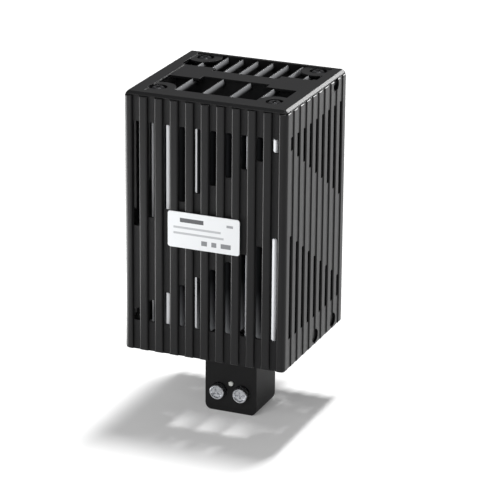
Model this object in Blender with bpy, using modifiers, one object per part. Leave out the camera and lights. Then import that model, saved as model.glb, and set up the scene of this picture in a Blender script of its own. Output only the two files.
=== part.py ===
"""Enclosure heater: a ribbed, slotted plastic cage round an aluminium fin block with PTC stones.

The heater stands on the underside of its terminal block. X runs to the right, Y away from
the front, Z up; the origin is the middle of that underside. All lengths are in metres.
"""

import math

import bmesh
import bpy
from mathutils import Matrix, Vector

MM = 0.001
UP, LEVEL, ACROSS = "Z", "Y", "X"

# Fits between pieces
FIT = 0.3 * MM
LABEL_FIT = 0.1 * MM
OVERRUN = 1.0 * MM

# Cage: outside size, wall, ribs and slots
CAGE_WIDTH = 80.0 * MM
CAGE_DEPTH = 75.0 * MM
CAGE_HEIGHT = 123.4 * MM
CAGE_WALL = 2.4 * MM
CAGE_CORNER = 2.2 * MM
CAGE_TOP_CHAMFER = 0.5 * MM
CAGE_FOOT_ROUND = 1.0 * MM
RIB_PITCH = 7.6 * MM
GROOVE_WIDTH = 3.5 * MM
GROOVE_DEPTH = 0.5 * MM
GROOVE_DRAFT = 0.15 * MM
RIB_ROUND = 0.25 * MM
LEAST_CORNER_RIB = 3.0 * MM
SLOT_EASE = 0.05 * MM
SLOT_CORNER = 0.9 * MM
SLOT_MARGIN_TOP = 12.2 * MM
SLOT_MARGIN_FOOT = 14.4 * MM
BAND_HEIGHT = 40.4 * MM
BAND_STEP = 4.87 * MM
STUD_HOLE_RADIUS = 3.3 * MM
STUD_SINK = 1.1 * MM
FOOT_STUD_HEIGHT = 4.6 * MM
HEAD_STUD_DROP = 2.3 * MM
FOOT_STUD_PLACES = (1.9 * MM, 24.6 * MM)
HEAD_STUD_PLACE = 23.2 * MM

# Covers
COVER_PLATE = 1.5 * MM
COVER_INSET = 0.4 * MM
COVER_CHAMFER = 1.2 * MM
COVER_BORDER = 3.4 * MM
COVER_SIDE_BORDER = 7.6 * MM
COVER_STEP = 0.4 * MM
COVER_DEPTH = 5.0 * MM
SKIRT_WALL = 1.6 * MM
FOOT_COVER_SINK = 0.8 * MM
OPENING_SIDE = 8.3 * MM
OPENING_FRONT = 11.8 * MM
OPENING_BACK = 3.5 * MM
BAND_FROM_BACK = 32.8 * MM
WIDE_BAND = 18.8 * MM
NARROW_BAND = 10.2 * MM
FOOT_BAND = 29.6 * MM
NARROW_BAND_LENGTH = 33.0 * MM
BAFFLE_END = 1.2 * MM
BAFFLE_LEDGE = 0.4 * MM
BAR_WIDTH = 1.9 * MM
BAR_CREST = 0.6 * MM
BAR_DEPTH = 2.9 * MM
FRONT_BAR_PITCH = 13.45 * MM
PAD_RADIUS = 8.2 * MM
BOSS_RADIUS = 5.4 * MM
WELL_RADIUS = 4.2 * MM
WELL_DEPTH = 2.0 * MM
BOSS_SIDES = 20
HEAD_SIDES = 16

# Cover screws, shared by covers and fin block
SCREW_RADIUS = 1.45 * MM
SCREW_HEAD_RADIUS = 2.9 * MM
SCREW_HEAD_HEIGHT = 1.3 * MM
TOP_SCREW_LENGTH = 22.0 * MM
BOTTOM_SCREW_LENGTH = 14.0 * MM
SCREW_FROM_SIDE = 11.5 * MM
SCREW_FROM_FRONT = 13.2 * MM
SCREW_FROM_BACK = 7.8 * MM
RECESS_WIDTH = 0.8 * MM
RECESS_DEPTH = 0.8 * MM
RECESS_ARM = 1.8 * MM
SCREW_TILT = 130

# Fin block: an extruded aluminium profile
SINK_DROP = 13.0 * MM
CORE_TO_PORT = 7.0 * MM
CORE_THICKNESS = 14.0 * MM
CHANNEL_WALL = 4.0 * MM
CHANNEL_THICKNESS = 6.0 * MM
WING_THICKNESS = 4.0 * MM
FIN_ROOT = 2.2 * MM
FIN_TIP = 1.5 * MM
INNER_FIN_TIP = 1.1 * MM
OUTER_FIN_TIP = 2.0 * MM
INNER_FIN = 6.0 * MM
FRONT_FIN_PITCH = 13.7 * MM
FIN_TO_PORT = 2.0 * MM
FRONT_FIN_CLEAR = 4.6 * MM
BACK_FIN_CLEAR = 4.8 * MM
PORT_RADIUS = 3.1 * MM
PORT_GAP = 2.0 * MM

# Heating stack inside the channel
FILM = 0.4 * MM
ELECTRODE = 0.6 * MM
ELECTRODE_END = 5.0 * MM
STONE_COUNT = 3
STONE_HEIGHT = 24.0 * MM
STONE_SPACE = 4.0 * MM
STONE_MARGIN = 3.0 * MM
TAB_WIDTH = 4.8 * MM
TAB_LENGTH = 5.0 * MM
TAB_FROM_WALL = 4.2 * MM
LEAD_RADIUS = 0.9 * MM
LEAD_POINTS = 9

# Terminal block
BLOCK_WIDTH = 26.3 * MM
BLOCK_DEPTH = 23.6 * MM
BLOCK_DROP = 38.9 * MM
BLOCK_FROM_BACK = 18.5 * MM
BLOCK_CORNER = 3.4 * MM
BLOCK_HEEL = 4.8 * MM
BLOCK_EDGE = 0.5 * MM
BLOCK_WALL = 2.3 * MM
BLOCK_FLOOR = 4.6 * MM
BLOCK_PARTITION = 2.4 * MM
FLANGE = 1.8 * MM
TERMINAL_SPREAD = 11.8 * MM
TERMINAL_HEIGHT = 10.8 * MM
TERMINAL_HEAD_RADIUS = 3.6 * MM
TERMINAL_HEAD_PROUD = 3.9 * MM
TERMINAL_HEAD_SEATED = 0.9 * MM
TERMINAL_SHANK = 1.7 * MM
HEAD_RIM = 0.9 * MM
HEAD_DISH = 0.8 * MM
CROSS_SHORT = 0.7 * MM
ENTRY_WIDTH = 5.6 * MM
ENTRY_DEPTH = 4.8 * MM
CLAMP_WIDTH = 8.6 * MM
CLAMP_DEPTH = 10.2 * MM
CLAMP_HEIGHT = 8.4 * MM
CLAMP_WALL = 1.3 * MM
BAR_THICKNESS = 1.2 * MM
CONTACT_WIDTH = 5.4 * MM
CONTACT_DROP = 16.0 * MM
CONTACT_SET_BACK = 6.2 * MM
LENS_RADIUS = 1.2 * MM
LENS_HEIGHT = 14.7 * MM
LENS_PROUD = 0.5 * MM
LENS_LENGTH = 4.6 * MM
LAMP_LENGTH = 5.0 * MM

# Rail clip for a 35 mm rail
RAIL_WIDTH = 35.0 * MM
RAIL_EDGE_FIT = 0.4 * MM
RAIL_LIP_GAP = 1.7 * MM
CLIP_WIDTH = 24.0 * MM
CLIP_BASE = 3.8 * MM
CLIP_HOOK = 2.8 * MM
CLIP_REACH = 3.2 * MM
CLIP_SLOPE = 1.7 * MM
CLIP_SHOULDER = 6.0 * MM
CLIP_TONGUE = 9.0 * MM
CLIP_SCREW_SPREAD = 16.0 * MM
CLIP_SCREW_RADIUS = 1.5 * MM
CLIP_HEAD_RADIUS = 2.9 * MM
CLIP_HEAD_HEIGHT = 2.0 * MM
CLIP_HEAD_CROWN = 1.3 * MM
NUT_WIDTH = 5.5 * MM
NUT_THICKNESS = 1.8 * MM

# Rating label
LABEL_WIDTH = 35.5 * MM
LABEL_HEIGHT = 17.2 * MM
LABEL_THICKNESS = 0.4 * MM
LABEL_CORNER = 1.2 * MM

# Places that follow from the sizes
CAGE_BACK = BLOCK_DEPTH / 2 + BLOCK_FROM_BACK
CAGE_FRONT = CAGE_BACK - CAGE_DEPTH
CAGE_MID = (CAGE_FRONT + CAGE_BACK) / 2
CAGE_FOOT = BLOCK_DROP
CAGE_HEAD = CAGE_FOOT + CAGE_HEIGHT
TOP = CAGE_HEAD + FIT + COVER_PLATE
MIDDLE = (CAGE_FOOT + TOP) / 2
BAND_LINE = CAGE_BACK - BAND_FROM_BACK
FOOT_PLATE = CAGE_FOOT + FOOT_COVER_SINK
COVER_CLEAR_TOP = TOP - COVER_DEPTH
COVER_CLEAR_FOOT = FOOT_PLATE + COVER_DEPTH
SINK_TOP = TOP - SINK_DROP
SINK_FOOT = COVER_CLEAR_FOOT + FIT
OPENING_HALF = CAGE_WIDTH / 2 - OPENING_SIDE
SCREW_X = CAGE_WIDTH / 2 - SCREW_FROM_SIDE
FRONT_SCREW_Y = CAGE_FRONT + SCREW_FROM_FRONT
BACK_SCREW_Y = CAGE_BACK - SCREW_FROM_BACK
SCREW_PLACES = [(side * SCREW_X, y) for y in (FRONT_SCREW_Y, BACK_SCREW_Y) for side in (-1, 1)]
CORE_HALF = SCREW_X - CORE_TO_PORT
CHANNEL_HALF = CORE_HALF - CHANNEL_WALL
TAB_X = BLOCK_WIDTH / 2 - BLOCK_WALL - TAB_FROM_WALL
CONTACT_TOP = SINK_FOOT - CONTACT_DROP
BLOCK_FRONT = -BLOCK_DEPTH / 2
GROOVES_ACROSS = int((CAGE_WIDTH - 2 * LEAST_CORNER_RIB + RIB_PITCH - GROOVE_WIDTH) / RIB_PITCH)
GROOVES_ALONG = int((CAGE_DEPTH - 2 * LEAST_CORNER_RIB + RIB_PITCH - GROOVE_WIDTH) / RIB_PITCH)
FRONT_BARS = int(2 * OPENING_HALF / FRONT_BAR_PITCH)
BACK_BARS = GROOVES_ACROSS - 2


def clear_scene():
    for old in list(bpy.data.objects):
        bpy.data.objects.remove(old, do_unlink=True)


def new_collection(name, shown):
    made = bpy.data.collections.new(name)
    bpy.context.scene.collection.children.link(made)
    made.hide_render = not shown
    return made


clear_scene()
PARTS = new_collection("enclosure_heater", True)
CUTTERS = new_collection("cutters", False)


def material(name, colour, roughness, metallic=0.0):
    """A Principled material, made once for each finish."""
    made = bpy.data.materials.get(name)
    if made:
        return made
    made = bpy.data.materials.new(name)
    made.use_nodes = True
    shader = made.node_tree.nodes["Principled BSDF"]
    shader.inputs["Base Color"].default_value = (*colour, 1.0)
    shader.inputs["Roughness"].default_value = roughness
    shader.inputs["Metallic"].default_value = metallic
    return made


BLACK_PLASTIC = material("black_moulded_plastic", (0.018, 0.018, 0.020), 0.42)
BLOCK_PLASTIC = material("black_terminal_plastic", (0.013, 0.013, 0.014), 0.5)
ALUMINIUM = material("extruded_aluminium", (0.72, 0.73, 0.74), 0.38, 1.0)
STEEL = material("zinc_plated_steel", (0.62, 0.63, 0.66), 0.3, 1.0)
DARK_STEEL = material("black_oxide_steel", (0.05, 0.05, 0.055), 0.35, 0.9)
BRASS = material("tinned_brass", (0.75, 0.70, 0.55), 0.3, 1.0)
CERAMIC = material("grey_ptc_ceramic", (0.16, 0.15, 0.15), 0.7)
FILM_AMBER = material("amber_film", (0.55, 0.27, 0.05), 0.35)
LENS_WHITE = material("milky_lens", (0.85, 0.85, 0.83), 0.25)
LABEL_WHITE = material("white_label", (0.80, 0.81, 0.82), 0.4)
SILICONE_WHITE = material("white_silicone", (0.78, 0.77, 0.74), 0.55)


def place(made, name, finish, cutter=False):
    """Names an object and puts it with the parts, or with the hidden cutters."""
    made.name = name
    made.data.name = name
    made.data.materials.clear()
    made.data.materials.append(finish)
    for group in list(made.users_collection):
        group.objects.unlink(made)
    (CUTTERS if cutter else PARTS).objects.link(made)
    if cutter:
        made.hide_render = True
        made.display_type = "WIRE"
    return made


def from_bmesh(work, name, finish, cutter=False):
    bmesh.ops.recalc_face_normals(work, faces=work.faces)
    mesh = bpy.data.meshes.new(name)
    work.to_mesh(mesh)
    work.free()
    return place(bpy.data.objects.new(name, mesh), name, finish, cutter)


def smooth(made, degrees=35):
    made.data.shade_smooth()
    made.data.set_sharp_from_angle(angle=math.radians(degrees))
    return made


def box(name, low, high, finish, cutter=False):
    """A box between two corners."""
    low, high = Vector(low), Vector(high)
    work = bmesh.new()
    bmesh.ops.create_cube(work, size=1.0)
    bmesh.ops.scale(work, vec=high - low, verts=work.verts)
    bmesh.ops.translate(work, vec=(low + high) / 2, verts=work.verts)
    return from_bmesh(work, name, finish, cutter)


def rod(name, centre, radius, length, axis, finish, cutter=False, sides=24):
    """A cylinder about centre, along one of the three axes."""
    work = bmesh.new()
    bmesh.ops.create_cone(
        work, cap_ends=True, segments=sides, radius1=radius, radius2=radius, depth=length
    )
    turn = {UP: Matrix(), LEVEL: Matrix.Rotation(math.pi / 2, 4, "X"),
            ACROSS: Matrix.Rotation(math.pi / 2, 4, "Y")}[axis]
    bmesh.ops.transform(work, matrix=Matrix.Translation(centre) @ turn, verts=work.verts)
    return smooth(from_bmesh(work, name, finish, cutter))


def arc(centre, radius, start, end, steps):
    """Points on an arc, angles in degrees."""
    return [
        (
            centre[0] + radius * math.cos(math.radians(start + (end - start) * i / steps)),
            centre[1] + radius * math.sin(math.radians(start + (end - start) * i / steps)),
        )
        for i in range(steps + 1)
    ]


def rounded(low, high, corner, steps=3):
    """A rounded rectangle, anticlockwise."""
    spots = (
        (high[0] - corner, low[1] + corner, -90),
        (high[0] - corner, high[1] - corner, 0),
        (low[0] + corner, high[1] - corner, 90),
        (low[0] + corner, low[1] + corner, 180),
    )
    return [p for x, y, start in spots for p in arc((x, y), corner, start, start + 90, steps)]


def prism(name, outlines, low, high, axis, finish, cutter=False):
    """Flat outlines, holes included, drawn out from low to high along an axis.

    Along Z an outline holds (x, y), along Y it holds (x, z), along X it holds (y, z).
    """
    curve = bpy.data.curves.new(name, "CURVE")
    curve.dimensions = "2D"
    curve.fill_mode = "BOTH"
    curve.extrude = (high - low) / 2
    for outline in outlines:
        spline = curve.splines.new("POLY")
        spline.points.add(len(outline) - 1)
        for point, (u, v) in zip(spline.points, outline):
            point.co = (u, v, 0, 1)
        spline.use_cyclic_u = True
    drawn = bpy.data.objects.new(name, curve)
    bpy.context.scene.collection.objects.link(drawn)
    bpy.context.view_layer.update()
    mesh = bpy.data.meshes.new_from_object(drawn.evaluated_get(bpy.context.evaluated_depsgraph_get()))
    bpy.data.objects.remove(drawn, do_unlink=True)
    bpy.data.curves.remove(curve)
    work = bmesh.new()
    work.from_mesh(mesh)
    bpy.data.meshes.remove(mesh)
    bmesh.ops.remove_doubles(work, verts=work.verts, dist=1e-7)
    middle = (low + high) / 2
    turn = {
        UP: Matrix.Translation((0, 0, middle)),
        LEVEL: Matrix.Translation((0, middle, 0)) @ Matrix.Rotation(math.pi / 2, 4, "X"),
        ACROSS: Matrix.Translation((middle, 0, 0))
        @ Matrix.Rotation(math.pi / 2, 4, "Z") @ Matrix.Rotation(math.pi / 2, 4, "X"),
    }[axis]
    bmesh.ops.transform(work, matrix=turn, verts=work.verts)
    return smooth(from_bmesh(work, name, finish, cutter), 30)


def turned(name, profile, finish, axis=UP, centre=(0, 0, 0), sides=24, cutter=False):
    """A turned piece: a profile of (radius, height) from top to bottom, spun by a Screw modifier."""
    mesh = bpy.data.meshes.new(name)
    mesh.from_pydata([(r, 0, h) for r, h in profile], [(i, i + 1) for i in range(len(profile) - 1)], [])
    made = place(bpy.data.objects.new(name, mesh), name, finish, cutter)
    spin = made.modifiers.new("spin", "SCREW")
    spin.axis = "Z"
    spin.angle = 2 * math.pi
    spin.steps = sides
    spin.render_steps = sides
    spin.use_merge_vertices = True
    spin.merge_threshold = 1e-6
    spin.use_smooth_shade = False
    turn = {UP: Matrix(), LEVEL: Matrix.Rotation(math.pi / 2, 4, "X"),
            ACROSS: Matrix.Rotation(math.pi / 2, 4, "Y")}[axis]
    made.matrix_world = Matrix.Translation(centre) @ turn
    return made


def gather(name, pieces, finish=BLACK_PLASTIC):
    """Several shapes that don't meet, as one hidden helper."""
    work = bmesh.new()
    for piece in pieces:
        work.from_mesh(piece.data)
        bpy.data.objects.remove(piece, do_unlink=True)
    return from_bmesh(work, name, finish, True)


def shape(made, other, operation="DIFFERENCE"):
    """Cuts, joins or intersects with an exact Boolean."""
    step = made.modifiers.new(operation.lower(), "BOOLEAN")
    step.operation = operation
    step.solver = "EXACT"
    step.object = other
    return made


def groove_centres(count):
    return [(i - (count - 1) / 2) * RIB_PITCH for i in range(count)]


def ribbed_side(length, count, inset):
    """One side of the cage's section as (along, inward) points, none of them less than inset inward."""
    half, floor, r = GROOVE_WIDTH / 2, GROOVE_WIDTH / 2 - GROOVE_DRAFT, RIB_ROUND
    points = []
    for centre in groove_centres(count):
        c = centre + length / 2
        points += arc((c - half - r, r), r, -90, 0, 1)
        points += [(c - floor, GROOVE_DEPTH), (c + floor, GROOVE_DEPTH)]
        points += arc((c + half + r, r), r, 180, 270, 1)
    return [(along, max(inward, inset)) for along, inward in points]


def cage_ring(inset):
    """The ribbed outside of the section, side by side, with round corners."""
    x, y = CAGE_WIDTH / 2, CAGE_DEPTH / 2
    across = ribbed_side(CAGE_WIDTH, GROOVES_ACROSS, inset)
    along = ribbed_side(CAGE_DEPTH, GROOVES_ALONG, inset)
    inner_x, inner_y, corner = x - CAGE_CORNER, y - CAGE_CORNER, CAGE_CORNER - inset
    points = [(u - x, v - y) for u, v in across]
    points += arc((inner_x, -inner_y), corner, -90, 0, 4)
    points += [(x - v, u - y) for u, v in along]
    points += arc((inner_x, inner_y), corner, 0, 90, 4)
    points += [(x - u, y - v) for u, v in across]
    points += arc((-inner_x, inner_y), corner, 90, 180, 4)
    points += [(v - x, y - u) for u, v in along]
    points += arc((-inner_x, -inner_y), corner, 180, 270, 4)
    return [(px, py + CAGE_MID) for px, py in points]


def stacked(name, rings, finish):
    """A solid through (outline, height) rings of equal length, from the lowest up."""
    work = bmesh.new()
    loops = [[work.verts.new((x, y, height)) for x, y in outline] for outline, height in rings]
    count = len(loops[0])
    work.faces.new(list(reversed(loops[0])))
    work.faces.new(loops[-1])
    for lower, upper in zip(loops, loops[1:]):
        for i in range(count):
            j = (i + 1) % count
            work.faces.new((lower[i], lower[j], upper[j], upper[i]))
    return smooth(from_bmesh(work, name, finish), 30)


def slot_ends(step):
    """Heights of the two slots of a groove, below and above the slanting band."""
    line = MIDDLE + step * BAND_STEP
    low, high = CAGE_FOOT + SLOT_MARGIN_FOOT, CAGE_HEAD - SLOT_MARGIN_TOP
    return (low, line - BAND_HEIGHT / 2), (line + BAND_HEIGHT / 2, high)


def slot_outlines(count, rise, offset=0.0, shift=0.0):
    """Outlines of every slot of one side, in (along, height)."""
    half = GROOVE_WIDTH / 2 - GROOVE_DRAFT - SLOT_EASE
    found = []
    for centre in groove_centres(count):
        for low, high in slot_ends(rise * centre / RIB_PITCH + offset):
            if high - low > 2 * SLOT_CORNER:
                found.append(
                    rounded((centre - half + shift, low), (centre + half + shift, high), SLOT_CORNER, 2)
                )
    return found


def stud_spots():
    """(side, place along Y, height) of every locking stud, the back half turned round to the left."""
    spots = []
    for side in (1, -1):
        for along in FOOT_STUD_PLACES:
            spots.append((side, CAGE_MID + side * along, CAGE_FOOT + FOOT_STUD_HEIGHT))
        spots.append((side, CAGE_MID + side * HEAD_STUD_PLACE, CAGE_HEAD - HEAD_STUD_DROP))
    return spots


def make_cage():
    """Ribbed sleeve: a drawn section, dressed ends, and slots through the groove floors."""
    rings = []
    for angle in (90, 45, 0):
        inset = CAGE_FOOT_ROUND * (1 - math.cos(math.radians(angle)))
        height = CAGE_FOOT_ROUND * (1 - math.sin(math.radians(angle)))
        rings.append((cage_ring(inset), CAGE_FOOT + height))
    rings.sort(key=lambda ring: ring[1])
    rings.append((cage_ring(0), CAGE_HEAD - CAGE_TOP_CHAMFER))
    rings.append((cage_ring(CAGE_TOP_CHAMFER), CAGE_HEAD))
    cage = stacked("cage", rings, BLACK_PLASTIC)
    inside = rounded(
        (-CAGE_WIDTH / 2 + CAGE_WALL, CAGE_FRONT + CAGE_WALL),
        (CAGE_WIDTH / 2 - CAGE_WALL, CAGE_BACK - CAGE_WALL),
        CAGE_CORNER / 2,
    )
    hollow = prism(
        "cut_hollow", [inside], CAGE_FOOT - OVERRUN, CAGE_HEAD + OVERRUN, UP, BLACK_PLASTIC, True
    )
    shape(cage, hollow)
    middle_step = (GROOVES_ACROSS - 1) / 2
    side_offset = middle_step - (GROOVES_ALONG - 1) / 2
    reach = CAGE_WALL + OVERRUN
    front = prism(
        "cut_front_slots", slot_outlines(GROOVES_ACROSS, 1), CAGE_FRONT - OVERRUN,
        CAGE_FRONT + reach, LEVEL, BLACK_PLASTIC, True,
    )
    back = prism(
        "cut_back_slots", slot_outlines(GROOVES_ACROSS, -1), CAGE_BACK - reach,
        CAGE_BACK + OVERRUN, LEVEL, BLACK_PLASTIC, True,
    )
    right = prism(
        "cut_right_slots", slot_outlines(GROOVES_ALONG, -1, side_offset, CAGE_MID),
        CAGE_WIDTH / 2 - reach, CAGE_WIDTH / 2 + OVERRUN, ACROSS, BLACK_PLASTIC, True,
    )
    left = prism(
        "cut_left_slots", slot_outlines(GROOVES_ALONG, 1, side_offset, CAGE_MID),
        -CAGE_WIDTH / 2 - OVERRUN, -CAGE_WIDTH / 2 + reach, ACROSS, BLACK_PLASTIC, True,
    )
    for cutter in (front, back, right, left):
        shape(cage, cutter)
    holes = [
        rod("hole", (side * CAGE_WIDTH / 2, along, height), STUD_HOLE_RADIUS, 2 * reach, ACROSS,
            BLACK_PLASTIC, True)
        for side, along, height in stud_spots()
    ]
    shape(cage, gather("cut_stud_holes", holes))
    bolts = [
        rod("hole", (0, CAGE_BACK, MIDDLE + s * CLIP_SCREW_SPREAD / 2), CLIP_SCREW_RADIUS + FIT,
            2 * reach, LEVEL, BLACK_PLASTIC, True, 16)
        for s in (-1, 1)
    ]
    shape(cage, gather("cut_clip_holes", bolts))
    return cage


def opening_outlines(band_front, band_back, step_front, step_back):
    """The front and back air openings of a cover, stepped beside the middle band."""
    half, deep = OPENING_HALF, NARROW_BAND_LENGTH / 2
    near, far = CAGE_FRONT + OPENING_FRONT, CAGE_BACK - OPENING_BACK
    wide = ((BACK_BARS + 1) * RIB_PITCH - BAR_CREST) / 2
    front = [
        (-half, near), (half, near), (half, band_front), (deep, band_front),
        (deep, step_front), (-deep, step_front), (-deep, band_front), (-half, band_front),
    ]
    back = [
        (-wide, band_back), (-deep, band_back), (-deep, step_back), (deep, step_back),
        (deep, band_back), (wide, band_back), (wide, far), (-wide, far),
    ]
    return front, back


def cover_bars(name, step_front, step_back, low, high, crest_up):
    """The bars across both openings, each narrowing to a crest at its outer side."""
    low_half, high_half = BAR_WIDTH / 2, BAR_CREST / 2
    if not crest_up:
        low_half, high_half = high_half, low_half

    def bar(x, start, end):
        outline = [(x - low_half, low), (x + low_half, low), (x + high_half, high), (x - high_half, high)]
        return prism("bar", [outline], start, end, LEVEL, BLACK_PLASTIC, True)

    lap = COVER_PLATE / 2
    near, far = CAGE_FRONT + OPENING_FRONT, CAGE_BACK - OPENING_BACK
    bars = [
        bar((i - (FRONT_BARS - 1) / 2) * FRONT_BAR_PITCH, near - lap, step_front + lap)
        for i in range(FRONT_BARS)
    ]
    bars += [
        bar((i - (BACK_BARS - 1) / 2) * RIB_PITCH, step_back - lap, far + lap)
        for i in range(BACK_BARS)
    ]
    return gather(name, bars)


def dress_cover(cover, tag, plate, boss_end, head_side, line, step_half):
    """Openings, bars, bosses, wells and screw holes that both covers share.

    plate is the outer face's height, boss_end the free end of the screw bosses,
    head_side +1 where the screws go in from above and -1 from below, line the middle
    of the closed band and step_half half of that band's depth between the corners.
    """
    low, high = min(plate, boss_end), max(plate, boss_end)
    step_front, step_back = line - step_half, line + step_half
    front, back = opening_outlines(line - WIDE_BAND / 2, line + WIDE_BAND / 2, step_front, step_back)
    openings = prism(
        f"cut_{tag}_openings", [front, back], low - OVERRUN, high + OVERRUN, UP, BLACK_PLASTIC, True
    )
    shape(cover, openings)
    pad_low = plate - COVER_PLATE + COVER_STEP / 4 if head_side > 0 else plate + COVER_STEP / 4
    pad_high = pad_low + COVER_PLATE - 3 * COVER_STEP / 2
    pads = gather(f"cut_{tag}_pads", [
        rod("pad", (x, y, (pad_low + pad_high) / 2), PAD_RADIUS, pad_high - pad_low, UP,
            BLACK_PLASTIC, True, 32)
        for x, y in SCREW_PLACES
    ])
    wall_x = CAGE_WIDTH / 2 - CAGE_WALL - FIT - SKIRT_WALL / 2
    wall_front = CAGE_FRONT + CAGE_WALL + FIT + SKIRT_WALL / 2
    wall_back = CAGE_BACK - CAGE_WALL - FIT - SKIRT_WALL / 2
    inside = box(
        f"cut_{tag}_inside", (-wall_x, wall_front, low - OVERRUN), (wall_x, wall_back, high + OVERRUN),
        BLACK_PLASTIC, True,
    )
    shape(pads, inside, "INTERSECT")
    shape(cover, pads, "UNION")
    skin = COVER_STEP + COVER_PLATE / 4
    root, tip = plate - head_side * skin, plate - head_side * (skin + BAR_DEPTH)
    bar_low, bar_high = min(root, tip), max(root, tip)
    bars = cover_bars(f"cut_{tag}_bars", step_front, step_back, bar_low, bar_high, head_side > 0)
    shape(cover, bars, "UNION")
    bosses = gather(f"cut_{tag}_bosses", [
        rod("boss", (x, y, (boss_end + root) / 2), BOSS_RADIUS, abs(root - boss_end), UP,
            BLACK_PLASTIC, True, BOSS_SIDES)
        for x, y in SCREW_PLACES
    ])
    shape(bosses, inside, "INTERSECT")
    shape(cover, bosses, "UNION")
    wells = gather(f"cut_{tag}_wells", [
        rod("well", (x, y, plate), WELL_RADIUS, 2 * WELL_DEPTH, UP, BLACK_PLASTIC, True, BOSS_SIDES)
        for x, y in SCREW_PLACES
    ])
    shape(cover, wells)
    holes = gather(f"cut_{tag}_holes", [
        rod("hole", (x, y, (low + high) / 2), SCREW_RADIUS + FIT, high - low + 4 * OVERRUN, UP,
            BLACK_PLASTIC, True, 16)
        for x, y in SCREW_PLACES
    ])
    shape(cover, holes)


def skirt_and_studs(cover, tag, low, high, at_head):
    """The rim that centres a cover in the cage, with its round locking studs."""
    out_x = CAGE_WIDTH / 2 - CAGE_WALL - FIT
    front, back = CAGE_FRONT + CAGE_WALL + FIT, CAGE_BACK - CAGE_WALL - FIT
    outside = rounded((-out_x, front), (out_x, back), CAGE_CORNER / 2)
    inside = rounded(
        (-out_x + SKIRT_WALL, front + SKIRT_WALL), (out_x - SKIRT_WALL, back - SKIRT_WALL),
        CAGE_CORNER / 3,
    )
    skirt = prism(f"cut_{tag}_skirt", [outside, inside], low, high, UP, BLACK_PLASTIC, True)
    shape(cover, skirt, "UNION")
    start = out_x - SKIRT_WALL / 2
    end = CAGE_WIDTH / 2 - STUD_SINK
    studs = gather(f"cut_{tag}_studs", [
        rod("stud", (side * (start + end) / 2, along, height), STUD_HOLE_RADIUS - FIT, end - start,
            ACROSS, BLACK_PLASTIC, True)
        for side, along, height in stud_spots()
        if (height > MIDDLE) == at_head
    ])
    slab = box(
        f"cut_{tag}_stud_end",
        (-CAGE_WIDTH, CAGE_FRONT - OVERRUN, min(low, high)),
        (CAGE_WIDTH, CAGE_BACK + OVERRUN, max(low, high)),
        BLACK_PLASTIC, True,
    )
    shape(studs, slab, "INTERSECT")
    shape(cover, studs, "UNION")


def make_top_cover():
    """Flat cap: a chamfered plate, sunk in the middle, with openings, bars, wells and baffles."""
    x, front, back = CAGE_WIDTH / 2 - COVER_INSET, CAGE_FRONT + COVER_INSET, CAGE_BACK - COVER_INSET
    corner = CAGE_CORNER - COVER_INSET
    plate_low = TOP - COVER_PLATE

    def plate_ring(inset):
        return rounded((-x + inset, front + inset), (x - inset, back - inset), corner - inset, 4)

    cover = stacked(
        "top_cover",
        [(plate_ring(0), plate_low), (plate_ring(0), TOP - COVER_CHAMFER),
         (plate_ring(COVER_CHAMFER), TOP)],
        BLACK_PLASTIC,
    )
    skirt_and_studs(cover, "top", COVER_CLEAR_TOP + COVER_STEP, plate_low + COVER_PLATE / 3, True)
    sunk = prism(
        "cut_top_sunk",
        [rounded((-x + COVER_SIDE_BORDER, front + COVER_BORDER),
                 (x - COVER_SIDE_BORDER, back - COVER_BORDER), corner)],
        TOP - COVER_STEP, TOP + OVERRUN, UP, BLACK_PLASTIC, True,
    )
    shape(cover, sunk)
    dress_cover(cover, "top", TOP, SINK_TOP + FIT, 1, BAND_LINE, NARROW_BAND / 2)
    half = OPENING_HALF - BAFFLE_END
    centre = NARROW_BAND / 2 - BAFFLE_LEDGE - SKIRT_WALL / 2
    baffles = gather("cut_top_baffles", [
        box("baffle", (-half, BAND_LINE + s * centre - SKIRT_WALL / 2, SINK_TOP + FIT),
            (half, BAND_LINE + s * centre + SKIRT_WALL / 2, plate_low + COVER_PLATE / 3),
            BLACK_PLASTIC, True)
        for s in (-1, 1)
    ])
    shape(cover, baffles, "UNION")
    return cover


def make_bottom_cover():
    """Lower grille, set inside the cage, with a window that the terminal block hangs through."""
    out_x = CAGE_WIDTH / 2 - CAGE_WALL - FIT
    front, back = CAGE_FRONT + CAGE_WALL + FIT, CAGE_BACK - CAGE_WALL - FIT
    plate_high = FOOT_PLATE + COVER_PLATE
    cover = prism(
        "bottom_cover", [rounded((-out_x, front), (out_x, back), CAGE_CORNER / 2)],
        FOOT_PLATE, plate_high, UP, BLACK_PLASTIC,
    )
    skirt_and_studs(
        cover, "foot", FOOT_PLATE + COVER_PLATE / 3,
        CAGE_FOOT + FOOT_STUD_HEIGHT + STUD_HOLE_RADIUS, False,
    )
    dress_cover(cover, "foot", FOOT_PLATE, SINK_FOOT - FIT, -1, 0.0, FOOT_BAND / 2)
    window = prism(
        "cut_window",
        [rounded((-BLOCK_WIDTH / 2 - FIT, BLOCK_FRONT - FIT), (BLOCK_WIDTH / 2 + FIT, -BLOCK_FRONT + FIT),
                 BLOCK_EDGE)],
        FOOT_PLATE - OVERRUN, plate_high + OVERRUN, UP, BLACK_PLASTIC, True,
    )
    shape(cover, window)
    return cover


def fin(x, root_y, tip_y, tip=FIN_TIP):
    """Corners of one fin, from its root on one side round the tip and back."""
    return [
        (x - FIN_ROOT / 2, root_y), (x - tip / 2, tip_y), (x + tip / 2, tip_y), (x + FIN_ROOT / 2, root_y),
    ]


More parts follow.
